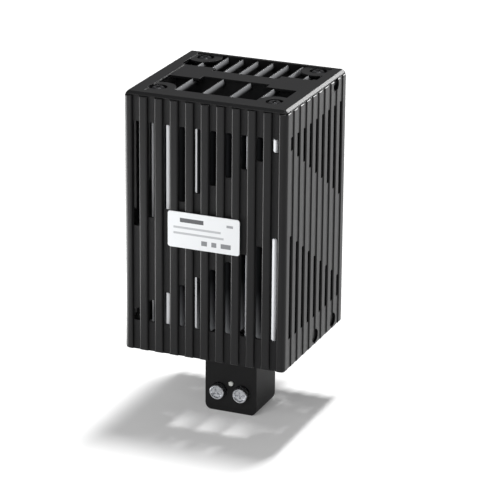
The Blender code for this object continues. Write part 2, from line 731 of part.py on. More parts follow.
def port(x, place, wing, way):
    """A fin that ends in a split round screw port; way is -1 towards the front, +1 the back."""
    bore = SCREW_RADIUS + FIT
    join = math.degrees(math.asin(FIN_TIP / 2 / PORT_RADIUS))
    outer = math.degrees(math.asin(PORT_GAP / 2 / PORT_RADIUS))
    inner = math.degrees(math.asin(PORT_GAP / 2 / bore))
    round_port = arc((0, 0), PORT_RADIUS, 90 + join, 270 - outer, 8)
    round_port += arc((0, 0), bore, 270 - inner, inner - 90, 12)
    round_port += arc((0, 0), PORT_RADIUS, outer - 90, 90 - join, 8)
    reach = abs(wing - place)
    points = [(-FIN_ROOT / 2, reach), *round_port, (FIN_ROOT / 2, reach)]
    if way < 0:
        return [(x + u, place + v) for u, v in points]
    return [(x + u, place - v) for u, v in reversed(points)]


def sink_outline():
    """The extrusion's outside: fins to the front, core, wings, fins to the back."""
    core_x, outer = CORE_HALF, SCREW_X
    core_front, core_back = BAND_LINE - CORE_THICKNESS / 2, BAND_LINE + CORE_THICKNESS / 2
    wing_front, wing_back = BAND_LINE - WING_THICKNESS / 2, BAND_LINE + WING_THICKNESS / 2
    front_tip, back_tip = CAGE_FRONT + FRONT_FIN_CLEAR, CAGE_BACK - BACK_FIN_CLEAR
    front_port, back_port = FRONT_SCREW_Y, BACK_SCREW_Y
    pairs = 1 + int((outer - PORT_RADIUS - FIN_TO_PORT - INNER_FIN) / FRONT_FIN_PITCH)
    right_fins = [INNER_FIN + i * FRONT_FIN_PITCH for i in range(pairs)]
    front_fins = [-x for x in reversed(right_fins)] + right_fins
    tips = {x: INNER_FIN_TIP if abs(x) == INNER_FIN else OUTER_FIN_TIP for x in front_fins}
    back_fins = [(i - (BACK_BARS - 1) / 2) * RIB_PITCH for i in range(1, BACK_BARS - 1)]
    on_core = [x for x in front_fins if abs(x) + FIN_ROOT / 2 < core_x]
    on_wing = [x for x in front_fins if x not in on_core]
    points = port(-outer, front_port, wing_front, -1)
    points += [p for x in on_wing if x < 0 for p in fin(x, wing_front, front_tip, tips[x])]
    points += [(-core_x, wing_front), (-core_x, core_front)]
    points += [p for x in on_core for p in fin(x, core_front, front_tip, tips[x])]
    points += [(core_x, core_front), (core_x, wing_front)]
    points += [p for x in on_wing if x > 0 for p in fin(x, wing_front, front_tip, tips[x])]
    points += port(outer, front_port, wing_front, -1)
    points += port(outer, back_port, wing_back, 1)
    points += [(core_x, wing_back), (core_x, core_back)]
    points += [p for x in reversed(back_fins) for p in reversed(fin(x, core_back, back_tip))]
    points += [(-core_x, core_back), (-core_x, wing_back)]
    points += port(-outer, back_port, wing_back, 1)
    return points


def make_heat_sink():
    """Extruded fin block with a heater channel and a split screw port at each corner."""
    channel = rounded(
        (-CHANNEL_HALF, BAND_LINE - CHANNEL_THICKNESS / 2),
        (CHANNEL_HALF, BAND_LINE + CHANNEL_THICKNESS / 2), FILM, 1,
    )
    prism("heat_sink", [sink_outline(), channel], SINK_FOOT, SINK_TOP, UP, ALUMINIUM)


def make_heating_stack():
    """Film sleeve, two electrodes with tabs, and PTC stones, pressed in the channel."""
    low, high = SINK_FOOT + ELECTRODE_END / 2, SINK_TOP - ELECTRODE_END / 2
    film_x, film_y = CHANNEL_HALF - FIT, CHANNEL_THICKNESS / 2 - FIT
    sleeve = [
        rounded((-film_x, BAND_LINE - film_y), (film_x, BAND_LINE + film_y), FILM, 1),
        rounded((-film_x + FILM, BAND_LINE - film_y + FILM), (film_x - FILM, BAND_LINE + film_y - FILM),
                FILM / 2, 1),
    ]
    prism("insulating_sleeve", sleeve, low, high, UP, FILM_AMBER)
    plate_x = film_x - FILM - FIT
    plate_out = film_y - FILM - FIT
    plate_in = plate_out - ELECTRODE
    top = high - ELECTRODE_END / 2
    foot = low + ELECTRODE_END / 2
    tab_foot = SINK_FOOT - TAB_LENGTH
    for name, side in (("front_electrode", -1), ("back_electrode", 1)):
        tab = side * TAB_X
        outline = [
            (-plate_x, top), (-plate_x, foot), (tab - TAB_WIDTH / 2, foot), (tab - TAB_WIDTH / 2, tab_foot),
            (tab + TAB_WIDTH / 2, tab_foot), (tab + TAB_WIDTH / 2, foot), (plate_x, foot), (plate_x, top),
        ]
        inner, outer = sorted((BAND_LINE + side * plate_in, BAND_LINE + side * plate_out))
        prism(name, [outline], inner, outer, LEVEL, BRASS)
    stone_y = plate_in - FIT
    stone_x = plate_x - STONE_MARGIN
    pitch = STONE_HEIGHT + STONE_SPACE
    for i, name in enumerate(("lower_ptc_stone", "middle_ptc_stone", "upper_ptc_stone")[:STONE_COUNT]):
        centre = (foot + top) / 2 + (i - (STONE_COUNT - 1) / 2) * pitch
        stone = box(
            name, (-stone_x, BAND_LINE - stone_y, centre - STONE_HEIGHT / 2),
            (stone_x, BAND_LINE + stone_y, centre + STONE_HEIGHT / 2), CERAMIC,
        )
        edge = stone.modifiers.new("edge", "BEVEL")
        edge.width = FIT
        edge.segments = 1
    return plate_in + ELECTRODE / 2, tab_foot


def block_profile():
    """Front outline of the terminal block, (x, z), with round bottom corners."""
    x, top = BLOCK_WIDTH / 2, SINK_FOOT - FIT
    points = arc((x - BLOCK_CORNER, BLOCK_CORNER), BLOCK_CORNER, -90, 0, 4)
    points += [(x, top), (-x, top)]
    points += arc((-x + BLOCK_CORNER, BLOCK_CORNER), BLOCK_CORNER, 180, 270, 4)
    return points


def heel_profile():
    """Side outline of the terminal block, (y, z), with a round heel at the back."""
    front, back, top = BLOCK_FRONT, -BLOCK_FRONT, SINK_FOOT
    points = arc((back - BLOCK_HEEL, BLOCK_HEEL), BLOCK_HEEL, -90, 0, 5)
    points += [(back, top + OVERRUN), (front, top + OVERRUN)]
    points += arc((front + BLOCK_EDGE, BLOCK_EDGE), BLOCK_EDGE, 180, 270, 2)
    return points


def make_terminal_housing():
    """Terminal block: a rounded housing with two compartments, wire entries and screw holes."""
    x, back = BLOCK_WIDTH / 2, -BLOCK_FRONT
    housing = prism("terminal_housing", [block_profile()], BLOCK_FRONT, back, LEVEL, BLOCK_PLASTIC)
    heel = prism("cut_heel", [heel_profile()], -x - OVERRUN, x + OVERRUN, ACROSS, BLOCK_PLASTIC, True)
    shape(housing, heel, "INTERSECT")
    flange_low, flange_high = FOOT_PLATE + COVER_PLATE + FIT, SINK_FOOT - FIT
    flange = prism(
        "cut_flange",
        [rounded((-x - FLANGE, BLOCK_FRONT - FLANGE), (x + FLANGE, back + FLANGE), BLOCK_EDGE)],
        flange_low, flange_high, UP, BLOCK_PLASTIC, True,
    )
    shape(housing, flange, "UNION")
    part, wall = BLOCK_PARTITION / 2, BLOCK_WALL
    rooms = gather("cut_rooms", [
        box("room", (min(s * part, s * (x - wall)), BLOCK_FRONT + wall, BLOCK_FLOOR),
            (max(s * part, s * (x - wall)), back - wall, SINK_FOOT + OVERRUN), BLOCK_PLASTIC, True)
        for s in (-1, 1)
    ])
    shape(housing, rooms)
    entry_y = entry_centre()
    entries = gather("cut_entries", [
        box("entry",
            (s * TERMINAL_SPREAD / 2 - ENTRY_WIDTH / 2, entry_y - ENTRY_DEPTH / 2, -OVERRUN),
            (s * TERMINAL_SPREAD / 2 + ENTRY_WIDTH / 2, entry_y + ENTRY_DEPTH / 2, BLOCK_FLOOR + OVERRUN),
            BLOCK_PLASTIC, True)
        for s in (-1, 1)
    ])
    shape(housing, entries)
    screws = gather("cut_terminal_holes", [
        rod("hole", (s * TERMINAL_SPREAD / 2, BLOCK_FRONT, TERMINAL_HEIGHT), TERMINAL_HEAD_RADIUS + FIT,
            2 * (wall + OVERRUN), LEVEL, BLOCK_PLASTIC, True)
        for s in (-1, 1)
    ])
    shape(housing, screws)
    lamp = rod(
        "cut_lamp_hole", (0, BLOCK_FRONT, LENS_HEIGHT), LENS_RADIUS + FIT,
        2 * (LENS_LENGTH + LAMP_LENGTH + OVERRUN), LEVEL, BLOCK_PLASTIC, True,
    )
    shape(housing, lamp)
    return housing


def contact_front():
    return BLOCK_FRONT + CONTACT_SET_BACK


def entry_centre():
    """Wires pass behind the contact bar, so the entries are centred there."""
    return contact_front() + BAR_THICKNESS + ENTRY_DEPTH / 2


def terminal_screw_profile():
    """Head with a raised rim round a dished face, then the shank; heights from the head's front."""
    head = TERMINAL_HEAD_PROUD + TERMINAL_HEAD_SEATED
    reach = TERMINAL_HEAD_PROUD + CONTACT_SET_BACK - FIT
    r, ease = TERMINAL_HEAD_RADIUS, FIT
    return [
        (0, -HEAD_DISH), (r - HEAD_RIM - ease, -HEAD_DISH), (r - HEAD_RIM, -ease), (r - HEAD_RIM + ease, 0),
        (r - ease, 0), (r, -ease), (r, -head + ease), (r - ease, -head), (TERMINAL_SHANK, -head),
        (TERMINAL_SHANK, -reach + ease), (TERMINAL_SHANK - ease, -reach), (0, -reach),
    ]


def make_terminals():
    """For each pole: a plus-slot screw, a rising clamp frame and a contact bar."""
    front = BLOCK_FRONT - TERMINAL_HEAD_PROUD
    for tag, s, tilt in (("left", -1, 38), ("right", 1, 8)):
        x = s * TERMINAL_SPREAD / 2
        screw = turned(
            f"{tag}_terminal_screw", terminal_screw_profile(), STEEL, LEVEL,
            (x, front, TERMINAL_HEIGHT),
        )
        reach = TERMINAL_HEAD_RADIUS - HEAD_RIM - FIT
        plus = plus_outline((x, TERMINAL_HEIGHT), reach, reach - CROSS_SHORT, tilt)
        depth = front + HEAD_DISH + RECESS_DEPTH
        shape(screw, prism(f"cut_{tag}_plus", [plus], front - OVERRUN, depth, LEVEL, STEEL, True))
        ring_front = contact_front() - CLAMP_WALL - 3 * FIT
        low, high = TERMINAL_HEIGHT - CLAMP_HEIGHT / 2 + FIT, TERMINAL_HEIGHT + CLAMP_HEIGHT / 2
        low = max(low, BLOCK_FLOOR + FIT)
        wide = CLAMP_WIDTH / 2
        ring = [
            rounded((x - wide, ring_front), (x + wide, ring_front + CLAMP_DEPTH), CLAMP_WALL / 2),
            rounded((x - wide + CLAMP_WALL, ring_front + CLAMP_WALL),
                    (x + wide - CLAMP_WALL, ring_front + CLAMP_DEPTH - CLAMP_WALL), FIT),
        ]
        clamp = prism(f"{tag}_wire_clamp", ring, low, high, UP, STEEL)
        tap = rod(
            f"cut_{tag}_tap", (x, ring_front, TERMINAL_HEIGHT), TERMINAL_SHANK + FIT,
            2 * (CLAMP_WALL + OVERRUN), LEVEL, STEEL, True, 16,
        )
        shape(clamp, tap)
        bar = box(
            f"{tag}_contact_bar",
            (x - CONTACT_WIDTH / 2, contact_front(), BLOCK_FLOOR + FIT),
            (x + CONTACT_WIDTH / 2, contact_front() + BAR_THICKNESS, CONTACT_TOP), BRASS,
        )
        edge = bar.modifiers.new("edge", "BEVEL")
        edge.width = FIT
        edge.segments = 1


def plus_outline(centre, long, short, tilt):
    """A plus: one slot of half-length long, a cross slot of half-length short, turned by tilt degrees."""
    half = RECESS_WIDTH / 2
    corners = [
        (long, -half), (long, half), (half, half), (half, short), (-half, short), (-half, half),
        (-long, half), (-long, -half), (-half, -half), (-half, -short), (half, -short), (half, -half),
    ]
    turn = Matrix.Rotation(math.radians(tilt), 2)
    return [tuple(Vector(centre) + turn @ Vector(corner)) for corner in corners]


def make_indicator():
    """Domed lens in the block's face, with the lamp behind it."""
    end = LENS_LENGTH - LENS_PROUD
    dome = [(LENS_RADIUS * math.sin(a), LENS_PROUD * math.cos(a))
            for a in (math.radians(15 * i) for i in range(7))]
    profile = [(r, h - LENS_PROUD) for r, h in dome] + [(LENS_RADIUS, -LENS_LENGTH), (0, -LENS_LENGTH)]
    turned("indicator_lens", profile, LENS_WHITE, LEVEL, (0, BLOCK_FRONT - LENS_PROUD, LENS_HEIGHT), 20)
    rod(
        "indicator_lamp", (0, BLOCK_FRONT + end + FIT + LAMP_LENGTH / 2, LENS_HEIGHT), LENS_RADIUS,
        LAMP_LENGTH, LEVEL, LENS_WHITE, sides=20,
    )


def make_leads(tab_y, tab_foot):
    """Silicone leads from the electrode tabs down to the contact bars."""
    for name, s in (("left_lead", -1), ("right_lead", 1)):
        start = Vector((s * TAB_X, BAND_LINE + s * tab_y, tab_foot - FIT))
        end = Vector((s * TERMINAL_SPREAD / 2, contact_front() + BAR_THICKNESS / 2, CONTACT_TOP + FIT))
        curve = bpy.data.curves.new(name, "CURVE")
        curve.dimensions = "3D"
        curve.bevel_depth = LEAD_RADIUS
        curve.bevel_resolution = 2
        curve.use_fill_caps = True
        spline = curve.splines.new("POLY")
        spline.points.add(LEAD_POINTS - 1)
        for i, point in enumerate(spline.points):
            t = i / (LEAD_POINTS - 1)
            ease = t * t * (3 - 2 * t)
            x, y = start.x + (end.x - start.x) * ease, start.y + (end.y - start.y) * ease
            point.co = (x, y, start.z + (end.z - start.z) * t, 1)
        made = bpy.data.objects.new(name, curve)
        curve.materials.append(SILICONE_WHITE)
        PARTS.objects.link(made)


def cover_screw_profile(length):
    """Pan head over a plain shank with a blunt point; heights from under the head."""
    r, h, ease = SCREW_HEAD_RADIUS, SCREW_HEAD_HEIGHT, FIT
    return [
        (0, h), (r - 2 * ease, h), (r, h - 2 * ease), (r, 0), (SCREW_RADIUS, 0),
        (SCREW_RADIUS, -length + SCREW_RADIUS), (SCREW_RADIUS / 2, -length), (0, -length),
    ]


def make_cover_screws():
    """Four cross-head screws from above and four from below, into the fin block's ports."""
    corners = ("front_left", "front_right", "back_left", "back_right")
    seats = (
        ("top", TOP - WELL_DEPTH + FIT, 1, TOP_SCREW_LENGTH),
        ("bottom", FOOT_PLATE + WELL_DEPTH - FIT, -1, BOTTOM_SCREW_LENGTH),
    )
    for tag, seat, way, length in seats:
        for corner, (x, y) in zip(corners, SCREW_PLACES):
            screw = turned(
                f"{tag}_screw_{corner}", cover_screw_profile(length), DARK_STEEL, sides=HEAD_SIDES
            )
            if way < 0:
                screw.matrix_world = Matrix.Translation((x, y, seat)) @ Matrix.Rotation(math.pi, 4, "X")
            else:
                screw.matrix_world = Matrix.Translation((x, y, seat))
            face = seat + way * SCREW_HEAD_HEIGHT
            outline = plus_outline((x, y), RECESS_ARM, RECESS_ARM, SCREW_TILT * (x + y) / CAGE_WIDTH)
            ends = sorted((face + way * OVERRUN, face - way * RECESS_DEPTH))
            shape(screw, prism(f"cut_{tag}_{corner}", [outline], *ends, UP, DARK_STEEL, True))


def clip_profile():
    """Side outline of the rail clip, (y, z), from the cage's back outwards."""
    y0 = CAGE_BACK + FIT
    y1 = y0 + CLIP_BASE
    y2 = y1 + RAIL_LIP_GAP
    y3 = y2 + CLIP_HOOK
    half = RAIL_WIDTH / 2 + RAIL_EDGE_FIT
    tip = half - CLIP_REACH
    top, foot = half + CLIP_SHOULDER, -half - CLIP_SHOULDER
    tongue = foot - CLIP_TONGUE
    points = [
        (y0, top), (y0, foot), (y2, foot), (y2, tongue), (y3, tongue), (y3, foot + CLIP_HOOK),
        (y3, -tip - CLIP_SLOPE), (y3 - CLIP_SLOPE, -tip), (y2, -tip), (y2, -half),
        (y1, -half), (y1, half), (y2, half), (y2, tip), (y3 - CLIP_SLOPE, tip), (y3, tip + CLIP_SLOPE),
        (y3, top - CLIP_SLOPE), (y3 - CLIP_SLOPE, top),
    ]
    return [(y, z + MIDDLE) for y, z in points], y1


def make_rail_clip():
    """Moulded clip for the rail on the cage's back, with two screws and their nuts."""
    outline, seat = clip_profile()
    clip = prism("rail_clip", [outline], -CLIP_WIDTH / 2, CLIP_WIDTH / 2, ACROSS, BLACK_PLASTIC)
    spots = [("lower", MIDDLE - CLIP_SCREW_SPREAD / 2), ("upper", MIDDLE + CLIP_SCREW_SPREAD / 2)]
    holes = gather("cut_clip_bores", [
        rod("hole", (0, seat - CLIP_BASE / 2, z), CLIP_SCREW_RADIUS + FIT, 2 * CLIP_BASE, LEVEL,
            BLACK_PLASTIC, True, 16)
        for _, z in spots
    ])
    shape(clip, holes)
    head_seat = seat - CLIP_HEAD_HEIGHT
    sinks = gather("cut_clip_sinks", [
        rod("sink", (0, seat, z), CLIP_HEAD_RADIUS + FIT, 2 * (CLIP_HEAD_HEIGHT + FIT), LEVEL,
            BLACK_PLASTIC, True, 24)
        for _, z in spots
    ])
    shape(clip, sinks)
    nut_face = CAGE_BACK - CAGE_WALL - FIT
    length = head_seat - (nut_face - NUT_THICKNESS - OVERRUN)
    r, h, crown, ease = CLIP_HEAD_RADIUS, CLIP_HEAD_HEIGHT, CLIP_HEAD_CROWN, FIT
    profile = [
        (0, h), (r - crown, h), (r - ease, h - crown / 2), (r, h - crown), (r, 0), (CLIP_SCREW_RADIUS, 0),
        (CLIP_SCREW_RADIUS, -length + ease), (CLIP_SCREW_RADIUS - ease, -length), (0, -length),
    ]
    for tag, z in spots:
        screw = turned(f"{tag}_clip_screw", profile, STEEL, sides=20)
        turn = Matrix.Rotation(-math.pi / 2, 4, "X")
        screw.matrix_world = Matrix.Translation((0, head_seat, z)) @ turn
        half = NUT_WIDTH / 2
        nut = box(
            f"{tag}_clip_nut", (-half, nut_face - NUT_THICKNESS, z - half),
            (half, nut_face, z + half), STEEL,
        )
        thread = rod(
            f"cut_{tag}_nut", (0, nut_face, z), CLIP_SCREW_RADIUS + FIT, 4 * NUT_THICKNESS, LEVEL, STEEL,
            True, 16,
        )
        shape(nut, thread)


def make_label():
    """White label across the rib faces, on the band between the slots."""
    low = (-LABEL_WIDTH / 2, MIDDLE - LABEL_HEIGHT / 2)
    high = (LABEL_WIDTH / 2, MIDDLE + LABEL_HEIGHT / 2)
    face = CAGE_FRONT - LABEL_FIT
    prism(
        "rating_label", [rounded(low, high, LABEL_CORNER, 4)], face - LABEL_THICKNESS, face, LEVEL,
        LABEL_WHITE,
    )


make_cage()
make_top_cover()
make_bottom_cover()
make_heat_sink()
make_leads(*make_heating_stack())
make_terminal_housing()
make_terminals()
make_indicator()
make_cover_screws()
make_rail_clip()
make_label()
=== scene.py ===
import math

import bpy
import numpy as np
from mathutils import Matrix, Vector


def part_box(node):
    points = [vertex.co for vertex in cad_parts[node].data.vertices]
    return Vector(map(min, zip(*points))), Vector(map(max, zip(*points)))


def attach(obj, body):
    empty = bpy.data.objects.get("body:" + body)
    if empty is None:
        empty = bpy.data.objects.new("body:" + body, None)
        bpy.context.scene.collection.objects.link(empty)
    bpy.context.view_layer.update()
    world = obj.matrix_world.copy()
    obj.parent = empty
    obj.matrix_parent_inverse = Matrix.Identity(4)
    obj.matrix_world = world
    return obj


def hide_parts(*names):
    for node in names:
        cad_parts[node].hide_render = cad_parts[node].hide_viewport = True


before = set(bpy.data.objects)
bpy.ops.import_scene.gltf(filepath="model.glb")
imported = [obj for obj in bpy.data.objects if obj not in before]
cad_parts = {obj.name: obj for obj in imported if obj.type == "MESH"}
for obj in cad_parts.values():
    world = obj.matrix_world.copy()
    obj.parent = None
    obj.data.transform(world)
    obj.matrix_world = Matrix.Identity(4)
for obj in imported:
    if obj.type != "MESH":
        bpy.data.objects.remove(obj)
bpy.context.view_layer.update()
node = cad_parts
MM = 0.001

# The cage is one moulding in black, glass-filled PA 66: a sleeve with upright ribs and slots cut
# through the groove floors above and below a slanting band. It holds both covers by round studs.
# Its skin is finely spark-textured, so it gives a soft, broad sheen and pale, rubbed rib edges.


def linear(code):
    """sRGB hex to a linear colour, each channel by the sRGB curve."""
    parts = [int(code[i : i + 2], 16) / 255 for i in (1, 3, 5)]
    return (*(c / 12.92 if c <= 0.04045 else ((c + 0.055) / 1.055) ** 2.4 for c in parts), 1.0)


def add(tree, kind, inputs=None, **settings):
    """Adds a node: settings are its properties, and each of inputs is a socket to link or a value."""
    made = tree.nodes.new(kind)
    for name, value in settings.items():
        setattr(made, name, value)
    for name, value in (inputs or {}).items():
        if isinstance(value, bpy.types.NodeSocket):
            tree.links.new(value, made.inputs[name])
        else:
            made.inputs[name].default_value = value
    return made


CLOUD_MM = 18.0


def material(name, dark, light, grain_mm, rough=(0.4, 0.5), bump_mm=0.0, edge_mm=0.15, **shader):
    """Two tones mixed by a broad noise, and two roughness values by a fine one that gives the bump.

    grain_mm is the fine noise's size, a little coarser than the real grain so that it shows, and
    edge_mm the radius that moulding or tumbling leaves on edges. shader sets the shader's sockets.
    """
    made = bpy.data.materials.new(name)
    made.use_nodes = True
    tree = made.node_tree
    surface = tree.nodes["Principled BSDF"]
    place = add(tree, "ShaderNodeTexCoord", name="place").outputs["Object"]
    grain = add(
        tree, "ShaderNodeTexNoise",
        {"Vector": place, "Scale": 1 / (grain_mm * MM), "Detail": 3.0, "Roughness": 0.6},
    )
    cloud = add(
        tree, "ShaderNodeTexNoise",
        {"Vector": place, "Scale": 1 / (CLOUD_MM * MM), "Detail": 2.0, "Roughness": 0.5},
    )
    tone = add(
        tree, "ShaderNodeMix", {0: cloud.outputs["Fac"], 6: linear(dark), 7: linear(light)},
        name="tone", data_type="RGBA",
    )
    gloss = add(
        tree, "ShaderNodeMapRange",
        {"Value": grain.outputs["Fac"], "To Min": rough[0], "To Max": rough[1]}, name="gloss",
    )
    edge = add(tree, "ShaderNodeBevel", {"Radius": edge_mm * MM}, samples=6)
    relief = add(
        tree, "ShaderNodeBump",
        {
            "Height": grain.outputs["Fac"], "Normal": edge.outputs["Normal"],
            "Strength": 0.5, "Distance": bump_mm * MM,
        },
    )
    tree.links.new(tone.outputs[2], surface.inputs["Base Color"])
    tree.links.new(gloss.outputs["Result"], surface.inputs["Roughness"])
    tree.links.new(relief.outputs["Normal"], surface.inputs["Normal"])
    for key, value in shader.items():
        surface.inputs[key.replace("_", " ")].default_value = value
    return made


def finish(made, *names):
    """Gives CAD nodes their material."""
    for name in names:
        node[name].data.materials.clear()
        node[name].data.materials.append(made)


nylon = {"dark": "#0d0d0e", "light": "#121213", "grain_mm": 0.35, "bump_mm": 0.01}
moulded = material(
    "spark_textured_nylon", **nylon, rough=(0.26, 0.34), edge_mm=0.1, Specular_IOR_Level=0.21
)

# Handling has polished the rib faces, so the groove floors are rougher. The mask rises with the
# depth below the cage's faces, from 0.3 mm at the front and back and from 0.8 mm at the sides.
FLOOR_ROUGHNESS = 0.62
foot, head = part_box("cage")
tree = moulded.node_tree
split = add(tree, "ShaderNodeSeparateXYZ", {"Vector": tree.nodes["place"].outputs["Object"]})
depths = []
for axis, low, high, start, end in (("Y", foot.y, head.y, 0.3, 0.9), ("X", foot.x, head.x, 0.8, 1.2)):
    shifted = add(
        tree, "ShaderNodeMath", {0: split.outputs[axis], 1: (low + high) / 2}, operation="SUBTRACT"
    )
    size = add(tree, "ShaderNodeMath", {0: shifted.outputs[0]}, operation="ABSOLUTE")
    face = (high - low) / 2
    depth = add(
        tree, "ShaderNodeMapRange",
        {"Value": size.outputs[0], "From Min": face - start * MM, "From Max": face - end * MM},
    )
    depths.append(depth.outputs["Result"])
sunk = add(tree, "ShaderNodeMath", {0: depths[0], 1: depths[1]}, operation="MULTIPLY")
coarse = add(
    tree, "ShaderNodeMix",
    {0: sunk.outputs[0], 2: tree.nodes["gloss"].outputs["Result"], 3: FLOOR_ROUGHNESS},
    data_type="FLOAT",
)
tree.links.new(coarse.outputs[0], tree.nodes["Principled BSDF"].inputs["Roughness"])
finish(moulded, "cage")

# The cage's skin is drawn again with rounder ribs and deeper front and back grooves, from the
# ribs' pitch and the slanting band, and stands for the solid. A shape is cut out for each opening.
WALL = 2.4 * MM
PITCH = 7.6 * MM
GROOVE, GROOVE_FLOOR = 3.5 * MM, 3.2 * MM
SLOT, SLOT_CORNER = 3.1 * MM, 0.9 * MM
FRONT_GROOVES, SIDE_GROOVES = 10, 9
FRONT_DEPTH, SIDE_DEPTH = 1.3 * MM, 0.5 * MM
FRONT_EDGE, SIDE_EDGE = 0.8 * MM, 0.45 * MM
CORNER = 2.2 * MM
FOOT_ROUND, HEAD_ROUND = 1.0 * MM, 0.5 * MM
BAND_HEIGHT, BAND_STEP = 40.4 * MM, 4.87 * MM
SLOTS_ABOVE_FOOT, SLOTS_BELOW_HEAD = 14.4 * MM, 12.2 * MM
STUD_HOLE = 3.3 * MM
FOOT_STUDS, FOOT_STUD_HEIGHT = (1.9 * MM, 24.6 * MM), 4.6 * MM
HEAD_STUD, HEAD_STUD_DROP = 23.2 * MM, 2.3 * MM
CLIP_HOLE, CLIP_SPREAD = 1.8 * MM, 16.0 * MM
CUT_DEPTH, CLEARANCE = 3.4 * MM, 1.0 * MM
SHARP_ANGLE = math.radians(40)
middle_y = (foot.y + head.y) / 2
middle_z = (foot.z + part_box("top_cover")[1].z) / 2


def arc(centre, radius, start, end, steps):
    """Points at centre + radius · (cosine, sine) of equal angles from start to end, in degrees."""
    angles = np.radians(np.linspace(start, end, steps + 1))
    return np.column_stack((centre[0] + radius * np.cos(angles), centre[1] + radius * np.sin(angles)))


def rounded(low, high, corner, steps):
    """A rectangle from low to high, anticlockwise, with a quarter of a circle at each corner."""
    left, right, under, over = low[0] + corner, high[0] - corner, low[1] + corner, high[1] - corner
    turns = (((right, under), -90), ((right, over), 0), ((left, over), 90), ((left, under), 180))
    return np.vstack([arc(centre, corner, start, start + 90, steps) for centre, start in turns])


def centres(count):
    """Places of count grooves, one pitch apart and even about the middle."""
    return (np.arange(count) - (count - 1) / 2) * PITCH


def ribbed_side(length, count, depth, r, inset):
    """One side of the section, as (along, inward): one groove's outline repeated at each centre.

    A rib's edge is a quarter of a circle of radius r, the groove's walls lean in to its flat
    floor at depth, and inset moves all that lies further out inwards to its own depth.
    """
    half, floor = GROOVE / 2, GROOVE_FLOOR / 2
    groove = np.vstack((
        arc((-half - r, r), r, -90, 0, 5), [(-floor, depth), (floor, depth)],
        arc((half + r, r), r, 180, 270, 5),
    ))
    along = groove[:, 0] + centres(count)[:, None] + length / 2
    inward = np.tile(np.maximum(groove[:, 1], inset), count)
    return along.ravel(), inward


def cage_section(inset):
    """The cage's outside, inset from its faces: four ribbed sides, a quarter circle between each."""
    x, y = (head.x - foot.x) / 2, (head.y - foot.y) / 2
    u, v = ribbed_side(2 * x, FRONT_GROOVES, FRONT_DEPTH, FRONT_EDGE, inset)
    s, t = ribbed_side(2 * y, SIDE_GROOVES, SIDE_DEPTH, SIDE_EDGE, inset)
    turn_x, turn_y = x - CORNER, y - CORNER
    parts = []
    for side, centre, start in (
        ((u - x, v - y), (turn_x, -turn_y), -90), ((x - t, s - y), (turn_x, turn_y), 0),
        ((x - u, y - v), (-turn_x, turn_y), 90), ((t - x, y - s), (-turn_x, -turn_y), 180),
    ):
        parts += [np.column_stack(side), arc(centre, CORNER - inset, start, start + 90, 8)]
    return np.vstack(parts) + (0.0, middle_y)


def lofted(rings):
    """A profile carried along a path: rings is an array (ring, point, xyz), with flat ends.

    Each point joins its neighbour and the next ring in a four-sided face. Where the ring's area
    vector, the sum of each point crossed with the next, points back along the path, all faces are
    turned round, so that they look outwards.
    """
    steps, count = rings.shape[0] - 1, rings.shape[1]
    here = np.arange(count)
    beside = np.roll(here, -1)
    below = np.arange(steps)[:, None] * count
    walls = np.stack((below + here, below + beside, below + beside + count, below + here + count), -1)
    ends = np.stack((here[::-1], here + steps * count))
    area = np.cross(rings[0], np.roll(rings[0], -1, axis=0)).sum(axis=0)
    turn = -1 if area @ (rings[-1] - rings[0]).mean(axis=0) < 0 else 1
    return rings.reshape(-1, 3), ends[:, ::turn], walls.reshape(-1, 4)[:, ::turn]


def joined(name, solids):
    """One object from several lofted solids that don't meet, their points and faces in turn."""
    faces, start = [], 0
    for points, ends, walls in solids:
        faces += [*(ends + start).tolist(), *(walls + start).tolist()]
        start += len(points)
    mesh = bpy.data.meshes.new(name)
    mesh.from_pydata(np.vstack([points for points, ends, walls in solids]), [], faces)
    made = bpy.data.objects.new(name, mesh)
    bpy.context.scene.collection.objects.link(made)
    return made


def drilled(outline, start, end, axis):
    """A cutter: a flat outline, (across, up), drawn from start to end along the axis X or Y."""
    across, up = outline.T
    rings = []
    for depth in (start, end):
        flat = np.full(len(outline), depth)
        rings.append(np.column_stack((flat, across + middle_y, up) if axis == "X" else (across, flat, up)))
    return lofted(np.stack(rings))


def slots(count, rise, offset):
    """Outlines of one side's slots, (along, height), above and below the slanting band.

    The band's middle rises by one step in each pitch, so a slot ends half the band's height from
    the middle height + (rise · centre / pitch + offset) · step. Spans that are too short stay shut.
    """
    found = []
    for centre in centres(count):
        line = middle_z + (rise * centre / PITCH + offset) * BAND_STEP
        for low, high in (
            (foot.z + SLOTS_ABOVE_FOOT, line - BAND_HEIGHT / 2),
            (line + BAND_HEIGHT / 2, head.z - SLOTS_BELOW_HEAD),
        ):
            if high - low > 2 * SLOT_CORNER:
                found.append(rounded((centre - SLOT / 2, low), (centre + SLOT / 2, high), SLOT_CORNER, 6))
    return found


angles = np.radians(np.linspace(90, 0, 5))
drop, rise = 1 - np.cos(angles), 1 - np.sin(angles)
insets = np.concatenate((FOOT_ROUND * drop, HEAD_ROUND * drop[::-1]))
heights = np.concatenate((foot.z + FOOT_ROUND * rise, head.z - HEAD_ROUND * rise[::-1]))
rings = []
for inset, height in zip(insets, heights):
    section = cage_section(inset)
    rings.append(np.column_stack((section, np.full(len(section), height))))
shell = joined("cage_shell", [lofted(np.stack(rings))])

